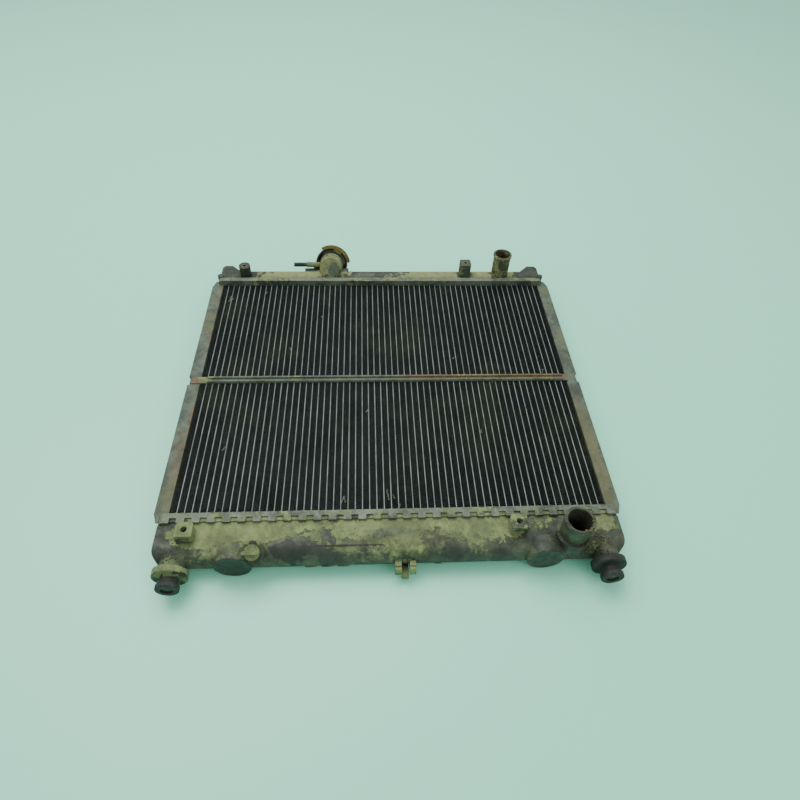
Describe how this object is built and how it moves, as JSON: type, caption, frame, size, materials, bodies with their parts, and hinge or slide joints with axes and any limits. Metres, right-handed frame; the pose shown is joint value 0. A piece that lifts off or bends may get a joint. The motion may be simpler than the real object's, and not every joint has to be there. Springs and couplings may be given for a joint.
{
  "type": "car radiator",
  "caption": "Down-flow car radiator: finned aluminium core between two crimped plastic tanks, with hose stubs, filler neck and cap, shroud bosses, rubber feet and a drain cock.",
  "frame": {"origin": "middle of the plan outline, on the rest plane of the front face", "axes": "+X towards the side with both hose stubs, +Y from the lower tank to the upper tank (up when fitted), +Z out of the engine side"},
  "size_m": [0.552, 0.5858, 0.079],
  "materials": {
    "tank_plastic": "weathered moulded nylon with dried mud",
    "header_aluminium": "oxidised",
    "seal_rubber": "matt",
    "tube_aluminium": "oxidised",
    "fin_aluminium": "dark coated",
    "side_steel": "worn grey coat with rust",
    "strap_steel": "worn grey coat with rust",
    "nipple_plastic": "moulded",
    "bush_rubber": "matt, dusty",
    "nut_steel": "dull zinc",
    "insert_brass": "dull",
    "drain_plastic": "moulded, dusty",
    "cap_steel": "yellow zinc plate, dusty",
    "spring_steel": "bright",
    "valve_brass": "dull"
  },
  "bodies": {
    "radiator": {"upper_tank": "tank_plastic", "lower_tank": "tank_plastic", "upper_header": "header_aluminium", "lower_header": "header_aluminium", "upper_gasket": "seal_rubber", "lower_gasket": "seal_rubber", "coolant_tubes": "tube_aluminium", "fins_left": "fin_aluminium", "fins_right": "fin_aluminium", "side_plate_left": "side_steel", "side_plate_right": "side_steel", "strap_front": "strap_steel", "strap_rear": "strap_steel", "overflow_nipple": "nipple_plastic", "lower_bush_left": "bush_rubber", "lower_bush_right": "bush_rubber", "shroud_nuts": "nut_steel", "shroud_inserts": "insert_brass"},
    "drain_ring": {"drain_seal": "seal_rubber"},
    "drain_screw": {"drain_plug": "drain_plastic"},
    "cap": {"cap_shell": "cap_steel", "cap_top_seal": "seal_rubber", "cap_disc_spring": "spring_steel", "cap_bell": "spring_steel", "cap_spring": "spring_steel"},
    "pressure_valve": {"pressure_valve": "valve_brass", "pressure_seal": "seal_rubber"},
    "vacuum_valve": {"vacuum_valve": "valve_brass"}
  },
  "joints": [
    {"name": "drain_travel", "type": "slide", "parent": "radiator", "child": "drain_ring", "axis": [0, -0.5, 0.866], "range_m": [0, 0.005]},
    {"name": "drain_turn", "type": "hinge", "parent": "drain_ring", "child": "drain_screw", "pos_m": [-0.156, -0.25769, 0.03894], "axis": [0, -0.5, 0.866], "range_deg": [0, 720]},
    {"name": "cap_turn", "type": "hinge", "parent": "radiator", "child": "cap", "pos_m": [-0.0855, 0.27866, 0.0345], "axis": [0, 0.9063, -0.4226], "range_deg": [0, 90]},
    {"name": "pressure_valve_lift", "type": "slide", "parent": "cap", "child": "pressure_valve", "axis": [0, 0.9063, -0.4226], "range_m": [0, 0.003], "stiffness_N_per_m": 3000, "springref_m": -0.004, "deforming": ["cap_spring"]},
    {"name": "vacuum_valve_drop", "type": "slide", "parent": "pressure_valve", "child": "vacuum_valve", "axis": [0, -0.9063, 0.4226], "range_m": [0, 0.0015]}
  ],
  "couplings": [
    {"joint": "drain_travel", "follows": "drain_turn", "m_per_rad": 0.00039789}
  ]
}
